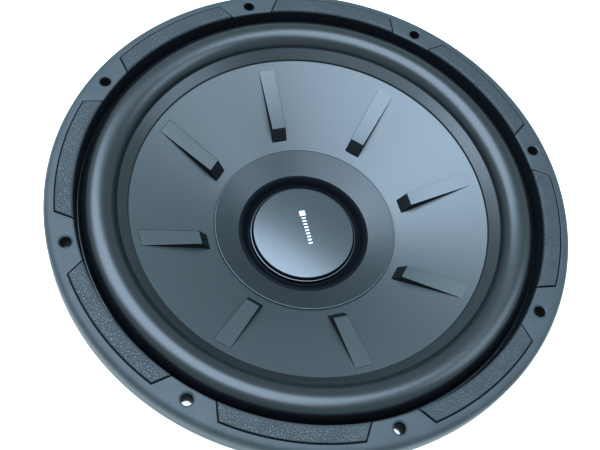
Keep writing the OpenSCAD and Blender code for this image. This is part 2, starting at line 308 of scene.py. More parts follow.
def surface(name, colour, patch=40.0, spread=0.18, rough=(0.4, 0.5), grit=0.6, depth=0.03, metallic=0.0,
            specular=0.5, coat=0.0, coat_rough=0.3):
    """A plain finish: slow changes of shade over patch mm, and a fine grit of that many mm and that depth."""
    material, tree, shader, grid = started(name)
    slow = add(tree, "ShaderNodeTexNoise", {"Vector": grid, "Scale": 1 / patch, "Detail": 4.0}).outputs["Fac"]
    fine = add(tree, "ShaderNodeTexNoise", {"Vector": grid, "Scale": 1 / grit, "Detail": 3.0}).outputs["Fac"]
    shade = add(tree, "ShaderNodeValToRGB", {"Fac": slow})
    shade.color_ramp.elements[0].position = 0.3
    shade.color_ramp.elements[0].color = scaled(colour, 1 - spread)
    shade.color_ramp.elements[1].position = 0.7
    shade.color_ramp.elements[1].color = scaled(colour, 1 + spread)
    polish = add(tree, "ShaderNodeMapRange", {"Value": fine, "To Min": rough[0], "To Max": rough[1]})
    bump = add(tree, "ShaderNodeBump", {"Height": fine, "Distance": depth * MM, "Strength": 1.0})
    tree.links.new(shade.outputs["Color"], shader.inputs["Base Color"])
    tree.links.new(polish.outputs["Result"], shader.inputs["Roughness"])
    tree.links.new(bump.outputs["Normal"], shader.inputs["Normal"])
    shader.inputs["Metallic"].default_value = metallic
    if not metallic:
        shader.inputs["Specular IOR Level"].default_value = specular
        shader.inputs["Coat Weight"].default_value = coat
        shader.inputs["Coat Roughness"].default_value = coat_rough
    return material


def moulded_polypropylene(name, colour, rough=(0.4, 0.46), specular=1.0):
    """Injection-moulded polypropylene: black, with a satin skin, a broad sheen and faint flow clouds."""
    return surface(name, colour, patch=55, spread=0.07, rough=rough, grit=0.5, depth=0.012, specular=specular)


def butyl_rubber(colour):
    """Pressed butyl rubber: nearly matte, with a soft broad highlight and a trace of bloom."""
    return surface("butyl_rubber", colour, patch=18, spread=0.16, rough=(0.26, 0.34), grit=0.8, depth=0.02,
                   specular=0.6)


def moulded_rubber(colour):
    """Compression-moulded rubber: satin lands with small scuffs and a fine tool texture."""
    return surface("moulded_rubber", colour, patch=12, spread=0.2, rough=(0.5, 0.62), grit=0.9, depth=0.05,
                   specular=0.5)


def leather_grained_rubber(colour, cell):
    """Rubber moulded in an etched tool: pebbled cells with smooth tops and dull creases between them, the
    creases painted darker as shade.
    """
    material, tree, shader, grid = started("leather_grained_rubber")
    cells = add(tree, "ShaderNodeTexVoronoi", {"Vector": grid, "Scale": 1 / cell, "Randomness": 1.0},
                feature="DISTANCE_TO_EDGE").outputs["Distance"]
    crease = add(tree, "ShaderNodeMapRange", {"Value": cells, "From Max": 0.22, "To Max": 1.0},
                 interpolation_type="SMOOTHSTEP").outputs["Result"]
    slow = add(tree, "ShaderNodeTexNoise", {"Vector": grid, "Scale": 1 / 14, "Detail": 3.0}).outputs["Fac"]
    height = add(tree, "ShaderNodeMath", {0: crease, 1: slow}, operation="MULTIPLY").outputs["Value"]
    # The creases are coloured darker than the cell tops: painted shade in the grain.
    shade = add(tree, "ShaderNodeValToRGB", {"Fac": crease})
    shade.color_ramp.elements[0].color = scaled(colour, 0.6)
    shade.color_ramp.elements[1].color = scaled(colour, 0.95)
    polish = add(tree, "ShaderNodeMapRange", {"Value": crease, "To Min": 0.68, "To Max": 0.46})
    bump = add(tree, "ShaderNodeBump", {"Height": height, "Distance": 0.3 * MM, "Strength": 1.0})
    tree.links.new(shade.outputs["Color"], shader.inputs["Base Color"])
    tree.links.new(polish.outputs["Result"], shader.inputs["Roughness"])
    tree.links.new(bump.outputs["Normal"], shader.inputs["Normal"])
    return material


def painted_steel(colour):
    """Powder-coated pressed steel: hard semi-gloss black with a slight orange peel."""
    return surface("painted_steel", colour, patch=30, spread=0.15, rough=(0.28, 0.4), grit=1.6, depth=0.04,
                   coat=0.3, coat_rough=0.25)


def turned_steel():
    """Zinc-plated steel faced on a lathe: bright, with fine rings that stretch the highlight."""
    material, tree, shader, grid = started("turned_steel")
    rings = add(tree, "ShaderNodeTexWave", {"Vector": grid, "Scale": 0.45, "Distortion": 0.4, "Detail": 2.0},
                wave_type="RINGS", rings_direction="Z").outputs["Fac"]
    slow = add(tree, "ShaderNodeTexNoise", {"Vector": grid, "Scale": 1 / 25, "Detail": 4.0}).outputs["Fac"]
    shade = add(tree, "ShaderNodeValToRGB", {"Fac": slow})
    shade.color_ramp.elements[0].color = linear("#8b8c8a")
    shade.color_ramp.elements[1].color = linear("#b4b5b1")
    polish = add(tree, "ShaderNodeMapRange", {"Value": slow, "To Min": 0.26, "To Max": 0.42})
    bump = add(tree, "ShaderNodeBump", {"Height": rings, "Distance": 0.03 * MM, "Strength": 0.7})
    tree.links.new(shade.outputs["Color"], shader.inputs["Base Color"])
    tree.links.new(polish.outputs["Result"], shader.inputs["Roughness"])
    tree.links.new(bump.outputs["Normal"], shader.inputs["Normal"])
    shader.inputs["Metallic"].default_value = 1.0
    return material


def ground_ferrite():
    """Sintered ferrite with ground faces: charcoal and dull, with a gritty sparkle."""
    return surface("ground_ferrite", linear("#2c2c2e"), patch=8, spread=0.25, rough=(0.5, 0.75), grit=0.7,
                   depth=0.08)


def treated_cloth(colour, thread):
    """Woven cotton stiffened with resin: threads cross over and under, amber, darker in the gaps between
    threads as painted shade and varying in slow patches.
    """
    material, tree, shader, grid = started("treated_cloth")
    warp = add(tree, "ShaderNodeTexWave", {"Vector": grid, "Scale": 0.314 / thread}, bands_direction="X")
    weft = add(tree, "ShaderNodeTexWave", {"Vector": grid, "Scale": 0.314 / thread}, bands_direction="Y")
    weave = add(tree, "ShaderNodeMath", {0: warp.outputs["Fac"], 1: weft.outputs["Fac"]}, operation="MAXIMUM")
    slow = add(tree, "ShaderNodeTexNoise", {"Vector": grid, "Scale": 1 / 9, "Detail": 3.0}).outputs["Fac"]
    weave = weave.outputs["Value"]
    mixed = add(tree, "ShaderNodeMath", {0: weave, 1: slow}, operation="MULTIPLY").outputs["Value"]
    # Colour follows the weave: painted shade in the gaps between threads, times a slow patchy noise.
    shade = add(tree, "ShaderNodeValToRGB", {"Fac": mixed})
    shade.color_ramp.elements[0].color = scaled(colour, 0.45)
    shade.color_ramp.elements[1].color = scaled(colour, 1.25)
    bump = add(tree, "ShaderNodeBump", {"Height": weave, "Distance": 0.25 * MM, "Strength": 0.8})
    tree.links.new(shade.outputs["Color"], shader.inputs["Base Color"])
    tree.links.new(bump.outputs["Normal"], shader.inputs["Normal"])
    shader.inputs["Roughness"].default_value = 0.7
    return material


def banded(name, low, high, pitch, axis="Z", depth=0.12, rough=0.35, metallic=1.0):
    """Wire or braid laid side by side: bands of that pitch in mm across one axis."""
    material, tree, shader, grid = started(name)
    turns = add(tree, "ShaderNodeTexWave", {"Vector": grid, "Scale": 0.314 / pitch, "Distortion": 0.3},
                bands_direction=axis).outputs["Fac"]
    # The colour follows the bands: painted shade between the turns and a painted highlight on their crests.
    shade = add(tree, "ShaderNodeValToRGB", {"Fac": turns})
    shade.color_ramp.elements[0].color = linear(low)
    shade.color_ramp.elements[1].color = linear(high)
    bump = add(tree, "ShaderNodeBump", {"Height": turns, "Distance": depth * MM, "Strength": 0.8})
    tree.links.new(shade.outputs["Color"], shader.inputs["Base Color"])
    tree.links.new(bump.outputs["Normal"], shader.inputs["Normal"])
    shader.inputs["Roughness"].default_value = rough
    shader.inputs["Metallic"].default_value = metallic
    return material


def enamelled_copper():
    """Copper wire under amber enamel, wound turn against turn."""
    return banded("enamelled_copper", "#6b2c12", "#c8693a", pitch=0.6)


def braided_copper():
    """Tinsel braid: bright fine copper strands round a textile core."""
    return banded("braided_copper", "#7d4a26", "#d9a06c", pitch=0.7, axis="DIAGONAL", rough=0.4)


def drawn_wire():
    """Drawn spring steel: bright, with faint die lines."""
    return surface("drawn_wire", linear("#a7a9ab"), patch=3, spread=0.15, rough=(0.2, 0.35), grit=0.3,
                   depth=0.01, metallic=1.0)


def stamped_brass():
    """Stamped brass strip, lightly tarnished."""
    return surface("stamped_brass", linear("#b08d4a"), patch=5, spread=0.2, rough=(0.25, 0.42), grit=0.5,
                   depth=0.02, metallic=1.0)


def black_oxide():
    """Steel blackened in a hot salt bath: near black with an oily shine on its edges."""
    return surface("black_oxide", linear("#3a3b3d"), patch=4, spread=0.2, rough=(0.32, 0.5), grit=0.4,
                   depth=0.02, metallic=1.0)


def moulded_abs(name, code, rough=(0.32, 0.46), spread=0.1):
    """Injection-moulded ABS: even colour, a fine spark-eroded texture and a soft shine."""
    return surface(name, linear(code), patch=10, spread=spread, rough=rough, grit=0.45, depth=0.03)


def kraft_paper():
    """Kraft paper wound on and glued: brown, fibrous and dull."""
    return surface("kraft_paper", linear("#7a5733"), patch=3, spread=0.25, rough=(0.7, 0.85), grit=0.5,
                   depth=0.05)


def studio_paper():
    """White paper lit through from behind, so that it stays pale under the speaker's shadow."""
    material = surface("studio_paper", linear("#faf6f0"), patch=400, spread=0.01, rough=(0.85, 0.95), grit=2)
    shader = next(n for n in material.node_tree.nodes if n.type == "BSDF_PRINCIPLED")
    shader.inputs["Emission Color"].default_value = (1, 0.98, 0.95, 1)
    shader.inputs["Emission Strength"].default_value = 0.5
    return material


def printed_ink():
    """Pad-printed white ink: flat, slightly chalky and thin at its edges."""
    return surface("printed_ink", linear("#dfe4e6"), patch=2, spread=0.05, rough=(0.4, 0.5), grit=0.3,
                   depth=0.01)


# Trim ring

HOLES = 8
HOLE_STEP = 360 / HOLES
HOLE_CIRCLE = 147.5
TRIM_STEPS = 720
LAND_Z = 14.0
TRIM_FOOT = (139.3, 3.0)
TRIM_BROW_R = 141.2
TRIM_ROUND = 5.2
TRIM_BASE = (0.2, 1.5)
TRIM_INNER_R = 143.6
TRIM_SKIRT_R = 156.4
BORE_R = 3.25
PAD_START_R = 140.0


def angle_of(point):
    return math.degrees(math.atan2(point.y, point.x)) % 360


def pad_end_lines(middle):
    """The two upright planes that end the pad centred at that angle: a point, and a normal towards the pad."""
    lines = []
    for side in (-1, 1):
        inner = math.radians(middle + side * (HOLE_STEP / 2 - sizes().pad_in_gap))
        outer = math.radians(middle + side * (HOLE_STEP / 2 - sizes().pad_out_gap))
        start = Vector((math.cos(inner), math.sin(inner), 0)) * PAD_START_R * MM
        end = Vector((math.cos(outer), math.sin(outer), 0)) * sizes().pad_out_r * MM
        along = (end - start).normalized()
        lines.append((start, Vector((along.y, -along.x, 0)) * side))
    return lines


def pad_steps():
    """Section across a pad's edge, groove first: (distance inside its outline, height) in millimetres."""
    width, rise = sizes().pad_groove, sizes().pad_rise
    return [(0, 0), (0.1, -0.6), (width, -0.6), (width + 0.15, rise * 0.7), (width + 0.55, rise)]


def step_height(inside, steps):
    """Height of the pad's section at that distance inside its outline."""
    for (a, low), (b, high) in zip(steps, steps[1:]):
        if inside < b:
            return low + (high - low) * max(0.0, inside - a) / (b - a)
    return steps[-1][1]


def raise_pad(bm, middle):
    """Cuts the outline of one pad into the ring, sinks a groove round it and raises it; the groove gets a
    near-black material as painted shade.
    """
    steps = pad_steps()
    reach = sizes().pad_out_r
    near = []
    for f in bm.faces:
        spot = f.calc_center_median() / MM
        turned = abs((angle_of(spot) - middle + 180) % 360 - 180)
        on_top = spot.z > TRIM_FOOT[1] and f.normal.z > -0.5
        if on_top and turned < HOLE_STEP / 2 - 3.5 and spot.xy.length < reach:
            near.append(f)
    ends = pad_end_lines(middle)
    for point, normal in ends:
        for inside, _ in steps:
            geom = list({v for f in near for v in f.verts}) + list({e for f in near for e in f.edges}) + near
            cut = bmesh.ops.bisect_plane(
                bm, geom=geom, dist=1e-7, plane_co=point + normal * inside * MM, plane_no=normal)
            near = [g for g in cut["geom"] if isinstance(g, bmesh.types.BMFace)]

    def inside_of(spot):
        from_ends = min((spot - point).dot(normal) / MM for point, normal in ends)
        return min(from_ends, reach - spot.xy.length / MM)

    for face in near:
        inside = inside_of(face.calc_center_median())
        if inside > steps[3][0]:
            face.material_index = 1
        elif inside > 0:
            # The groove gets material 2, a near-black dull rubber: painted shade in the crease.
            face.material_index = 2
    for v in {v for f in near for v in f.verts}:
        inward = min(1.0, max(0.0, (v.co.xy.length / MM - TRIM_FOOT[0]) / 3.5))
        v.co.z += step_height(max(0.0, inside_of(v.co)), steps) * inward * MM


def boundary_of(bm, faces):
    """Deletes the faces and gives the edges round the gap."""
    rim = [e for f in faces for e in f.edges if sum(g in faces for g in e.link_faces) == 1]
    bmesh.ops.delete(bm, geom=list(faces), context="FACES")
    return [e for e in rim if e.is_valid]


def pierce(bm, turn):
    """Opens one mounting hole with a shallow dimple at its mouth, its hole wall in near-black rubber as
    painted shade.
    """
    spin = Matrix.Rotation(math.radians(turn), 3, "Z")
    centre = spin @ Vector((HOLE_CIRCLE * MM, 0, 0))

    def near(face, low, high):
        spot = (spin.inverted() @ face.calc_center_median()) / MM
        return abs(spot.y) < 5.0 and low < spot.x < high

    mouth = {f for f in bm.faces if f.normal.z > 0.8 and near(f, 142.3, 153.0)}
    foot = {f for f in bm.faces if f.normal.z < -0.9 and near(f, 144.0, 156.0)}
    rims = [boundary_of(bm, mouth), boundary_of(bm, foot)]
    outline = [(BORE_R, TRIM_BASE[1]), (BORE_R, 12.9), (3.4, 13.3), (3.8, 13.65), (4.4, LAND_Z - 0.02)]
    verts = [bm.verts.new(spin @ Vector((HOLE_CIRCLE + r, 0, z)) * MM) for r, z in outline]
    edges = [bm.edges.new(pair) for pair in zip(verts, verts[1:])]
    bmesh.ops.spin(bm, geom=verts + edges, cent=centre, axis=(0, 0, 1), angle=FULL, steps=40, use_merge=True)
    # The hole's wall gets material 2, the near-black dull rubber: painted shade inside the hole.
    for v in bm.verts:
        if (v.co.xy - centre.xy).length < (BORE_R + 0.05) * MM:
            for f in v.link_faces:
                f.material_index = 2
    for rim, (r, z) in zip(rims, (outline[-1], outline[0])):
        ring = [
            e for e in bm.edges
            if e.is_boundary and abs(e.verts[0].co.z - z * MM) < 1e-6
            and (e.verts[0].co.xy - centre.xy).length < (r + 0.01) * MM
        ]
        bmesh.ops.triangle_fill(bm, use_beauty=True, use_dissolve=False, edges=rim + ring, normal=(0, 0, 1))


class SPEAKER_OT_trim_ring(bpy.types.Operator):
    """Moulded rubber trim ring: grooved and raised grained pads, smooth lands and dimpled holes"""

    bl_idname = "speaker.trim_ring"
    bl_label = "Trim ring"

    def execute(self, context):
        rim = reach_of("gasket_ring")
        top = [TRIM_FOOT, (TRIM_BROW_R, LAND_Z, 1.1), (143, LAND_Z), (145.5, LAND_Z), (148.5, LAND_Z)]
        top += [(sizes().pad_out_r - inside, LAND_Z) for inside, _ in reversed(pad_steps())]
        low, recess = TRIM_BASE
        side = [(rim, LAND_Z, TRIM_ROUND), (rim, low, 0.4), (TRIM_SKIRT_R, low), (TRIM_SKIRT_R, recess)]
        side += [(TRIM_INNER_R, recess)]
        bm = spun(top + side + [(TRIM_INNER_R, TRIM_FOOT[1])], closed=False, steps=TRIM_STEPS, segments=5)
        bmesh.ops.bridge_loops(bm, edges=[e for e in bm.edges if e.is_boundary])
        bmesh.ops.recalc_face_normals(bm, faces=bm.faces)
        for i in range(HOLES):
            raise_pad(bm, HOLE_STEP * (i + 0.5))
            pierce(bm, HOLE_STEP * i)
        bmesh.ops.recalc_face_normals(bm, faces=bm.faces)
        ring = finished(bm, "trim_ring", "frame", ["gasket_ring"], sharp=24)
        trim = tuple(colours().trim) + (1,)
        # Near-black dull rubber for the holes, the pad grooves and the inner wall: painted shade.
        shade_rubber = surface(
            "painted_shade_rubber", linear("#07090c"), patch=5, spread=0.1, rough=(0.7, 0.8), specular=0.1)
        # The inner wall below the brow, where the roll shadows it, gets the painted shade rubber too.
        painted(ring, 2, lambda r, z, up: r < TRIM_BROW_R - 0.2 and z < LAND_Z - 0.6 and up < 0.5)
        dress(ring, moulded_rubber(trim), leather_grained_rubber(trim, sizes().grain), shade_rubber)
        return {"FINISHED"}


# Surround and spider

ROLL_MIDDLE = 127.3
LIP_Z = 3.0
LIP_EDGE_R = 143.4
CONE_EDGE = (116.0, 2.85)
LIP_INNER_R = 110.5
NECK_R = 26.15


def cone_face(r):
    """Height of the cone's front face at that radius, in millimetres."""
    return CONE_EDGE[1] - sizes().cone_slope * (CONE_EDGE[0] - r)


class SPEAKER_OT_suspension(bpy.types.Operator):
    """Half-roll rubber surround and corrugated cloth spider, both bending between the frame and the cone"""

    bl_idname = "speaker.suspension"
    bl_label = "Surround and spider"

    def execute(self, context):
        outer = sizes().roll_r
        lip = 0.9
        roll = arc(ROLL_MIDDLE, LIP_Z, outer, 2, 166, 40)
        under = arc(ROLL_MIDDLE, LIP_Z, outer - 1.0, 180, 0, 36)
        outline = [(LIP_EDGE_R, LIP_Z), (roll[0][0] + 0.7, LIP_Z, 0.4)] + roll
        outline += [(116.5, 5.35, 0.2), (LIP_INNER_R + 0.15, cone_face(LIP_INNER_R) + lip, 0.25)]
        seat_r = CONE_EDGE[0] + 0.3
        outline += [(LIP_INNER_R, cone_face(LIP_INNER_R) + 0.05), (seat_r, cone_face(seat_r) + 0.05)]
        outline += under + [(ROLL_MIDDLE + outer - 1.0, 1.52), (LIP_EDGE_R, 1.52)]
        surround = finished(spun(outline, steps=288), "half_roll_surround", "frame", ["surround"],
                            sharp=50, blends=True)
        dress(surround, butyl_rubber(tuple(colours().roll) + (1,)))
        radial_blend(surround, CONE_EDGE[0], ROLL_MIDDLE + outer - 0.5)
        spider = finished(spun(self.spider_line(), closed=False, steps=192), "corrugated_spider", "frame",
                          ["spider"], sharp=60, blends=True)
        dress(spider, treated_cloth(tuple(colours().cloth) + (1,), sizes().cloth))
        radial_blend(spider, 30, 77)
        shell = spider.modifiers.new("cloth thickness", "SOLIDIFY")
        shell.thickness = 0.6 * MM
        shell.offset = 0
        return {"FINISHED"}

    @staticmethod
    def spider_line():
        """Middle line of the cloth: a glued neck, six waves and a flat foot on the shelf."""
        waves, first, last = 6, 30.0, 78.0
        mid = base_of("spider") + 2.5
        count = waves * 16
        line = [(NECK_R, mid - 1.0), (NECK_R + 0.3, mid - 2.2), (first - 1, mid - 2.2)]
        for i in range(count + 1):
            line.append((first + (last - first) * i / count, mid - 2.2 * math.cos(FULL * waves * i / count)))
        return line + [(88, mid - 2.2)]


# Cone, dust cap and disc

RIB_PEAK = (68.6, -16.6)
RIB_FOOT_R = 63.2
RIB_OUT_R = 105.7
CAP_EDGE_R = 57.7
DISC_FOOT = (34.1, -38.8)
DISC_TOP = (32.5, -34.4)
DISC_DOME = 1.3


def add_rib(bm, turn):
    """One wedge rib: highest at its inner end and flush with the cone at its outer end."""
    spin = Matrix.Rotation(math.radians(turn), 3, "Z")
    made = bmesh.ops.create_cube(bm, size=2)["verts"]
    for v in made:
        outside, upper, side = v.co.x > 0, v.co.z > 0, v.co.y
        if outside:
            half = 5.4
            r, z = RIB_OUT_R, cone_face(RIB_OUT_R) + (0.06 if upper else -0.8)
        elif upper:
            half = 4.5
            r, z = RIB_PEAK
        else:
            half = 5.0
            r, z = RIB_FOOT_R - 0.7, cone_face(RIB_FOOT_R) - 1.2
        v.co = spin @ Vector((r, side * half, z)) * MM
    edges = list({e for v in made for e in v.link_edges})
    bmesh.ops.bevel(bm, geom=edges, offset=0.15 * MM, affect="EDGES", segments=1, profile=0.5, material=-1)


class SPEAKER_OT_cone(bpy.types.Operator):
    """Moulded polypropylene cone with eight wedge ribs"""

    bl_idname = "speaker.cone"
    bl_label = "Cone"

    def execute(self, context):
        wall = 1.8
        bend_r = 47.0
        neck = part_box("cone")[0].z / MM
        outline = [
            (CONE_EDGE[0], cone_face(CONE_EDGE[0]), 0.3), (110.6, cone_face(110.6)),
            (110.35, cone_face(110.35) - 0.35), (110.1, cone_face(110.1)), (bend_r, cone_face(bend_r), 6),
            (26, neck + 3), (26, neck),
            (26 + wall, neck), (26 + wall, neck + 3.6, 1), (bend_r + 0.7, cone_face(bend_r + 0.7) - 2.2, 6),
            (CONE_EDGE[0] + 0.8, cone_face(CONE_EDGE[0] + 0.8) - 2.0, 0.3),
        ]
        bm = spun(outline, steps=256, segments=6)
        for i in range(HOLES):
            add_rib(bm, HOLE_STEP * i + sizes().rib_turn)
        bmesh.ops.recalc_face_normals(bm, faces=bm.faces)
        cone = finished(bm, "ribbed_cone", "cone_assembly", ["cone"], sharp=32)
        rib_wall_shade = moulded_polypropylene(
            "rib_wall_painted_shade", linear("#090c0e"), rough=(0.55, 0.6), specular=0.15)
        # Rib sides and ends get a near-black dull plastic: painted shade on faces turned from the light.
        painted(cone, 1, lambda r, z, up: RIB_FOOT_R - 1 < r < RIB_OUT_R + 0.5 and abs(up) < 0.72)
        dress(cone, moulded_polypropylene("satin_polypropylene", tuple(colours().cone) + (1,)), rib_wall_shade)
        return {"FINISHED"}


class SPEAKER_OT_dust_cap(bpy.types.Operator):
    """Funnel-shaped dust cap with its groove, the flat centre disc and a plain printed mark"""

    bl_idname = "speaker.dust_cap"
    bl_label = "Dust cap"

    def execute(self, context):
        rise = 1.0
        lip = (CAP_EDGE_R, cone_face(CAP_EDGE_R) + rise)
        funnel = (41.2, cone_face(41.2) + rise)
        outline = [
            (0, DISC_FOOT[1] - 0.05), (DISC_FOOT[0], DISC_FOOT[1] - 0.05, 0.2),
            (DISC_FOOT[0] + 0.1, -40.9, 0.35), (35.4, -41.4, 0.7), (37.8, -39.4, 1), (40.3, -35, 1), (funnel[0], funnel[1], 0.9),
            (lip[0] - 1.0, cone_face(lip[0] - 1.0) + rise), (lip[0] - 0.7, lip[1] - 0.35),
            (lip[0] - 0.5, lip[1] - 0.05, 0.1), (lip[0] - 0.1, lip[1], 0.15), (lip[0], lip[1] - 1.0),
            (48, cone_face(48) + 0.02), (funnel[0], funnel[1] - 1.1, 0.8), (39.2, -36.4), (37.2, -40.3, 1),
            (35.2, -42.2, 0.8), (33.3, -41.5, 0.5), (33.2, -39.9), (0, -39.9),
        ]
        cap = finished(spun(outline, closed=False, steps=256, segments=5), "funnel_dust_cap", "cone_assembly",
                       ["dust_cap"], sharp=35)
        # Near-black dull plastic: painted shadow in the groove and on the disc's side wall.
        shadow = moulded_polypropylene(
            "groove_painted_shadow", linear("#070a0e"), rough=(0.56, 0.62), specular=0.06)
        # A lighter, glossier plastic on the cap's thin lip: a painted highlight line round the rim.
        rim = moulded_polypropylene("rim_painted_highlight_plastic", linear("#39434a"), rough=(0.16, 0.22))
        skin = moulded_polypropylene(
            "satin_cap_plastic", tuple(colours().cap) + (1,), (0.38, 0.44), specular=0.62)
        # The groove between the disc's foot and the funnel gets the painted shadow.
        painted(cap, 1, lambda r, z, up: DISC_FOOT[0] - 0.2 < r < funnel[0] + 0.7)
        dress(painted(cap, 2, lambda r, z, up: r > lip[0] - 0.55 and z > lip[1] - 0.4), skin, shadow, rim)
        dome = [(r, DISC_TOP[1] - DISC_DOME * (r / DISC_TOP[0]) ** 2) for r in (0, 6, 12, 18, 23, 27, 30)]
        face = dome + [
            (DISC_TOP[0], DISC_TOP[1] - DISC_DOME, 0.5), (DISC_TOP[0] + 1.1, DISC_FOOT[1] + 1.0, 0.1),
            (DISC_FOOT[0] - 0.05, DISC_FOOT[1] + 0.9, 0.12), (DISC_FOOT[0], DISC_FOOT[1] + 0.1),
            (0, DISC_FOOT[1] + 0.1),
        ]
        disc = finished(spun(face, closed=False, steps=192), "centre_disc", "cone_assembly", ["cap_disc"],
                        sharp=30)
        # The disc's rounded edge and side wall get the painted shadow; only a thin ledge line keeps the satin
        # top.
        painted(disc, 1, lambda r, z, up: r > DISC_TOP[0] - 0.35 and abs(z - DISC_FOOT[1] - 0.95) > 0.07)
        top = moulded_polypropylene("satin_disc_plastic", tuple(colours().disc) + (1,), rough=(0.22, 0.28))
        dress(disc, top, shadow)
        mark = finished(self.mark(), "printed_mark", "cone_assembly")
        dress(mark, printed_ink())
        return {"FINISHED"}

    @staticmethod
    def mark():
        """A plain block and a row of plain bars, printed along the disc's diameter in place of any name."""
        bm = bmesh.new()
        bars, pitch, width, height = 9, 2.3, 1.0, 2.6
        turn = Matrix.Rotation(math.radians(-93), 3, "Z")
        sizes_and_places = [((3.6, 3.8), -13.0)] + [((width, height), -9.4 + i * pitch) for i in range(bars)]
        for (wide, high), x in sizes_and_places:
            made = bmesh.ops.create_cube(bm, size=1)["verts"]
            z = DISC_TOP[1] - DISC_DOME * (x / DISC_TOP[0]) ** 2
            bmesh.ops.scale(bm, verts=made, vec=(wide * MM, high * MM, 0.12 * MM))
            bmesh.ops.translate(bm, verts=made, vec=(x * MM, 2.2 * MM, (z - 0.01) * MM))
        corners = [e for e in bm.edges if abs(e.verts[0].co.z - e.verts[1].co.z) > 0.01 * MM]
        bmesh.ops.bevel(
            bm, geom=corners, offset=0.3 * MM, affect="EDGES", segments=3, profile=0.5, material=-1)
        bmesh.ops.rotate(bm, verts=bm.verts, cent=(0, 0, 0), matrix=turn)
        return bm


# Basket

class SPEAKER_OT_basket(bpy.types.Operator):
    """Pressed-steel basket in black paint, and the screws that hold it to the motor"""

    bl_idname = "speaker.basket"
    bl_label = "Basket"

    def execute(self, context):
        basket = node_copy("basket", "pressed_basket", "frame", width=0.4)
        dress(basket, painted_steel(tuple(colours().paint) + (1,)))
        screws = node_copy("basket_screws", "motor_screws", "frame", width=0.35)
        dress(screws, black_oxide())
        return {"FINISHED"}


# Motor

class SPEAKER_OT_motor(bpy.types.Operator):
    """Steel plates, ferrite rings, rubber boot, vent screen and the coil on its former"""

    bl_idname = "speaker.motor"
    bl_label = "Motor"

    def execute(self, context):
        steel = turned_steel()
        for node, name in (("top_plate", "turned_top_plate"), ("yoke", "turned_yoke")):
            dress(node_copy(node, name, "frame", width=0.5), steel)
        ferrite = ground_ferrite()
        for node in ("magnet_front", "magnet_rear"):
            dress(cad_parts[node], ferrite)
        dress(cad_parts["vent_screen"], painted_steel(linear("#202124")))
        dress(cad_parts["voice_coil"], enamelled_copper())
        dress(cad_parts["former_collar"], kraft_paper())
        dress(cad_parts["coil_former"], surface(
            "coated_foil", linear("#a9793f"), patch=6, spread=0.15, rough=(0.25, 0.4), metallic=1.0))
        boot = finished(spun(self.boot_outline(), steps=256), "moulded_boot", "frame", ["magnet_boot"],
                        sharp=30)
        dress(boot, surface("boot_rubber", tuple(colours().boot) + (1,), patch=25, spread=0.15,
                            rough=(0.45, 0.6), grit=0.8, depth=0.05))
        return {"FINISHED"}

    @staticmethod
    def boot_outline():
        """Section of the boot: two lips over the ferrite, and a wall with moulded grooves round it."""
        low, high, rim = base_of("magnet_boot"), top_of("magnet_boot"), reach_of("magnet_boot")
        inner = reach_of("magnet_front") + 0.05
        grooves = 5
        pitch = (high - low - 16) / (grooves - 1)
        outline = [(71, high, 0.3), (rim, high, 1.4)]
        for i in range(grooves):
            z = high - 8 - i * pitch
            outline += [(rim, z + 1.2, 0.3), (rim - 0.9, z + 0.7, 0.3)]
            outline += [(rim - 0.9, z - 0.7, 0.3), (rim, z - 1.2, 0.3)]
        outline += [(rim, low, 1.4), (68.05, low, 0.3), (68.05, low + 1.5), (inner, low + 1.5)]
        return outline + [(inner, high - 1.45), (71, high - 1.45)]


# Terminals and leads

POST_Z = -75.0
POSTS = (("red", 1), ("black", -1))
POST_PITCH_HALF = 10.0


def along_x(bm, y, z):
    """Turns a shape made along +Z to lie along -X, and moves it to that height and side."""
    bmesh.ops.rotate(bm, verts=bm.verts, cent=(0, 0, 0), matrix=Matrix.Rotation(math.radians(-90), 3, "Y"))
    bmesh.ops.translate(bm, verts=bm.verts, vec=(0, y * MM, z * MM))
    return bm


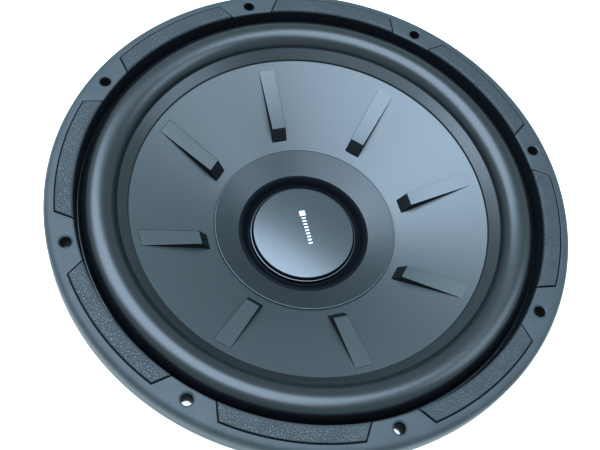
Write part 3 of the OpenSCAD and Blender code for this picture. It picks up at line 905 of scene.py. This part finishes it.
class SPEAKER_OT_terminals(bpy.types.Operator):
    """Push-terminal block with its posts, contacts, rivets and springs"""

    bl_idname = "speaker.terminals"
    bl_label = "Terminals"

    def execute(self, context):
        block = node_copy("terminal_block", "moulded_terminal_block", "frame", width=0.6)
        dress(block, moulded_abs("black_abs", "#202224"))
        rivets = node_copy("terminal_rivets", "domed_rivets", "frame", width=0.45, segments=3)
        dress(rivets, drawn_wire())
        brass, wire = stamped_brass(), drawn_wire()
        for colour, side in POSTS:
            code, slot = ("#b3161b", "red_plastic") if side > 0 else ("#1b1c1e", "black_plastic")
            strip = f"{colour}_contact_strip"
            contact = node_copy(f"{colour}_contact", strip, "frame", width=0.15)
            dress(contact, brass)
            post = finished(
                self.post(side), f"{colour}_push_post", f"{colour}_post", [f"{colour}_button"])
            dress(post, moulded_abs(f"{colour}_abs", code, rough=(0.2, 0.3), spread=0.05))
            self.spring(colour, wire)
        return {"FINISHED"}

    @staticmethod
    def post(side):
        """A push post: shaft, and a head with a dished top and grip flutes round it."""
        far, near = -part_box("red_button")[0].x / MM, -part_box("red_button")[1].x / MM
        head = far - 7.0
        outline = [
            (0, near + 0.2), (3.0, near + 0.2, 0.3), (3.0, head), (5.9, head, 0.4), (6.0, far, 0.9),
            (4.6, far, 0.25), (4.2, far - 0.6, 0.3), (0, far - 0.9),
        ]
        bm = spun(outline, closed=False, steps=72)
        for v in bm.verts:
            along = v.co.z / MM
            if v.co.xy.length > 5.7 * MM and head + 0.8 < along < far - 1.2:
                v.co.xy *= 0.96
        ridge = [f for f in bm.faces if f.calc_center_median().xy.length > 5.5 * MM and abs(f.normal.z) < 0.3]
        ridge.sort(key=lambda f: math.atan2(f.calc_center_median().y, f.calc_center_median().x))
        flutes = ridge[::3]
        bmesh.ops.inset_individual(
            bm, faces=flutes, thickness=0.05 * MM, depth=-0.3 * MM, use_even_offset=True)
        return along_x(bm, side * POST_PITCH_HALF, POST_Z)

    @staticmethod
    def spring(colour, wire):
        """The post's spring, as a fixed copy of its CAD node on the frame; the real spring shortens as the
        post is pressed.
        """
        node = f"{colour}_spring"
        bm = bmesh.new()
        bm.from_mesh(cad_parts[node].data)
        bmesh.ops.remove_doubles(bm, verts=bm.verts, dist=1e-6)
        piece = finished(bm, f"{colour}_coil_spring", "frame", [node], sharp=60)
        dress(piece, wire)
        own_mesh(piece)


# Route of the red lead in millimetres, from its lug to the neck of the cone; the black one mirrors it
LEAD_ROUTE = [
    (-104, 10, -57), (-101.4, 10, -57), (-99.4, 10, -55.6), (-98, 10, -53.2), (-96.4, 10, -50.8),
    (-94, 10, -49), (-91, 10, -48.2), (-87, 10, -48.2), (-82, 10, -48.8), (-76, 9.6, -50),
    (-70, 9.2, -51.2), (-64, 8.8, -52), (-58, 8.4, -52), (-52, 8, -51.6), (-46, 7.8, -51.2),
    (-41, 7.5, -51.4), (-36, 7.2, -52.6), (-32.5, 7, -54.2), (-30.2, 6.9, -55.2), (-28.3, 6.8, -55.6),
]


class SPEAKER_OT_leads(bpy.types.Operator):
    """Flexible braided leads from the lugs to the cone's neck, twisted from strands"""

    bl_idname = "speaker.leads"
    bl_label = "Leads"

    def execute(self, context):
        braid = braided_copper()
        for colour, side in POSTS:
            route = [Vector((x, y * side, z)) * MM for x, y, z in LEAD_ROUTE]
            piece = self.strands(route, f"{colour}_braided_lead")
            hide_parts(f"{colour}_lead")
            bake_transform(piece, "frame", "cone_assembly", start=route[1], end=route[-2])
            dress(piece, braid)
        return {"FINISHED"}

    @staticmethod
    def strands(route, name):
        """Four round strands that twist about the route, as one mesh."""
        count, twist, radius, fine = 4, 7 * MM, 0.45 * MM, 8
        curve = bpy.data.curves.new(name, "CURVE")
        curve.dimensions = "3D"
        curve.bevel_depth = 0.5 * MM
        curve.bevel_resolution = 2
        curve.use_fill_caps = True
        middle = []
        for a, b in zip(route, route[1:]):
            middle += [a.lerp(b, k / fine) for k in range(fine)]
        middle.append(route[-1])
        walked = [0.0]
        for a, b in zip(middle, middle[1:]):
            walked.append(walked[-1] + (b - a).length)
        for strand in range(count):
            spline = curve.splines.new("POLY")
            spline.points.add(len(middle) - 1)
            for i, point in enumerate(middle):
                ahead = (middle[min(i + 1, len(middle) - 1)] - middle[max(i - 1, 0)]).normalized()
                side = ahead.cross(Vector((0, 0, 1))).normalized()
                turn = FULL * (strand / count + walked[i] / twist)
                place = point + radius * (side * math.cos(turn) + ahead.cross(side) * math.sin(turn))
                spline.points[i].co = (*place, 1)
        source = bpy.data.objects.new(name, curve)
        bpy.context.scene.collection.objects.link(source)
        mesh = bpy.data.meshes.new_from_object(source.evaluated_get(bpy.context.evaluated_depsgraph_get()))
        bpy.data.objects.remove(source)
        mesh.name = name
        mesh.shade_smooth()
        piece = bpy.data.objects.new(name, mesh)
        bpy.context.scene.collection.objects.link(piece)
        return piece


# Stage

FLOOR_SIZE = 8.0
CAMERA_PLACE = (-0.1555, -0.2447, 0.4727)
CAMERA_TURN = (29.0, -8.23, -17.25)
CAMERA_LENS = 54.58


class SPEAKER_OT_stage(bpy.types.Operator):
    """Pale floor, soft studio light and the camera"""

    bl_idname = "speaker.stage"
    bl_label = "Stage"

    def execute(self, context):
        scene = context.scene
        bm = bmesh.new()
        bmesh.ops.create_grid(bm, x_segments=1, y_segments=1, size=FLOOR_SIZE / 2)
        bmesh.ops.translate(bm, verts=bm.verts, vec=(0, 0, CAD_BOX[0].z - 0.0002))
        mesh = bpy.data.meshes.new("floor")
        bm.to_mesh(mesh)
        bm.free()
        floor = bpy.data.objects.new("floor", mesh)
        scene.collection.objects.link(floor)
        dress(floor, studio_paper())
        self.light("soft_key", (-0.24, 0.22, 1.1), (1.0, 1.5), 42, linear("#c6e0fb")[:3])
        self.light("side_fill", (0.95, -0.35, 1.0), (0.7, 0.7), 7, linear("#c9e4ff")[:3])
        world = bpy.data.worlds.new("pale_room")
        world.use_nodes = True
        room = next(n for n in world.node_tree.nodes if n.type == "BACKGROUND")
        room.inputs["Color"].default_value = linear("#c0e6f4")
        room.inputs["Strength"].default_value = 1.2
        scene.world = world
        scene.view_settings.view_transform = "Standard"
        lens = bpy.data.cameras.new("camera")
        lens.lens = CAMERA_LENS
        lens.sensor_width = 36.0
        lens.clip_start = 0.01
        camera = bpy.data.objects.new("camera", lens)
        camera.location = CAMERA_PLACE
        camera.rotation_euler = [math.radians(a) for a in CAMERA_TURN]
        scene.collection.objects.link(camera)
        scene.camera = camera
        return {"FINISHED"}

    @staticmethod
    def light(name, place, size, power, colour):
        """A soft oblong light that faces the speaker."""
        data = bpy.data.lights.new(name, "AREA")
        data.shape = "RECTANGLE"
        data.size, data.size_y = size
        data.energy = power
        data.color = colour
        lamp = bpy.data.objects.new(name, data)
        lamp.location = place
        lamp.rotation_euler = (-Vector(place)).to_track_quat("-Z", "Y").to_euler()
        bpy.context.scene.collection.objects.link(lamp)


BUILDERS = (
    SPEAKER_OT_stage, SPEAKER_OT_trim_ring, SPEAKER_OT_suspension, SPEAKER_OT_cone, SPEAKER_OT_dust_cap,
    SPEAKER_OT_basket, SPEAKER_OT_motor, SPEAKER_OT_terminals, SPEAKER_OT_leads,
)


class SPEAKER_PT_panel(bpy.types.Panel):
    """Lists the speaker's builders and its sizes and colours"""

    bl_idname = "SPEAKER_PT_panel"
    bl_label = "Car Subwoofer Speaker"
    bl_space_type = "VIEW_3D"
    bl_region_type = "UI"
    bl_category = "Speaker"

    def draw(self, context):
        for builder in BUILDERS:
            self.layout.operator(builder.bl_idname)
        for group in (context.scene.speaker_sizes, context.scene.speaker_colours):
            box = self.layout.box()
            for key in group.__annotations__:
                box.prop(group, key)


CLASSES = (SpeakerSizes, SpeakerColours, *BUILDERS, SPEAKER_PT_panel)


def register():
    for cls in CLASSES:
        bpy.utils.register_class(cls)
    bpy.types.Scene.speaker_sizes = bpy.props.PointerProperty(type=SpeakerSizes)
    bpy.types.Scene.speaker_colours = bpy.props.PointerProperty(type=SpeakerColours)


def unregister():
    del bpy.types.Scene.speaker_colours
    del bpy.types.Scene.speaker_sizes
    for cls in reversed(CLASSES):
        bpy.utils.unregister_class(cls)


def main():
    register()
    for builder in BUILDERS:
        group, action = builder.bl_idname.split(".")
        getattr(getattr(bpy.ops, group), action)()


if __name__ == "__main__":
    main()
